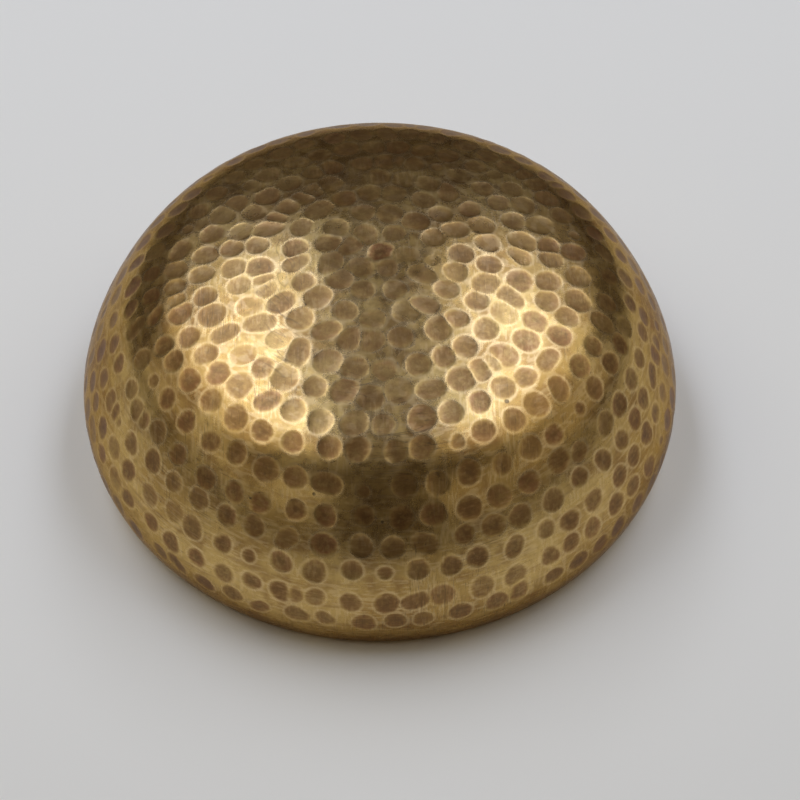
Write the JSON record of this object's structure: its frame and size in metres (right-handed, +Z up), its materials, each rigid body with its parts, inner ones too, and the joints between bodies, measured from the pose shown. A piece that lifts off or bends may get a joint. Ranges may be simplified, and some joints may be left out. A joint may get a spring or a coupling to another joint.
{
  "type": "singing bowl",
  "caption": "Hand-hammered bronze singing bowl standing mouth down, with a shallow crown, rounded heel, full belly and a lip that tucks in; it rings when struck or rubbed.",
  "frame": {"origin": "centre of the lip's resting plane, on the bowl's axis", "axes": "+Z up along the bowl's axis, from the mouth to the crown: the bowl stands mouth down, so the mouth faces -Z. The bowl is round, so X and Y are any two directions across it."},
  "size_m": [0.22, 0.22, 0.0865],
  "materials": {
    "hammered_bronze": "hammer-marked golden bronze with a brown patina in the marks, satin, finely scratched"
  },
  "bodies": {
    "root": {"bowl": "hammered_bronze"}
  },
  "joints": []
}
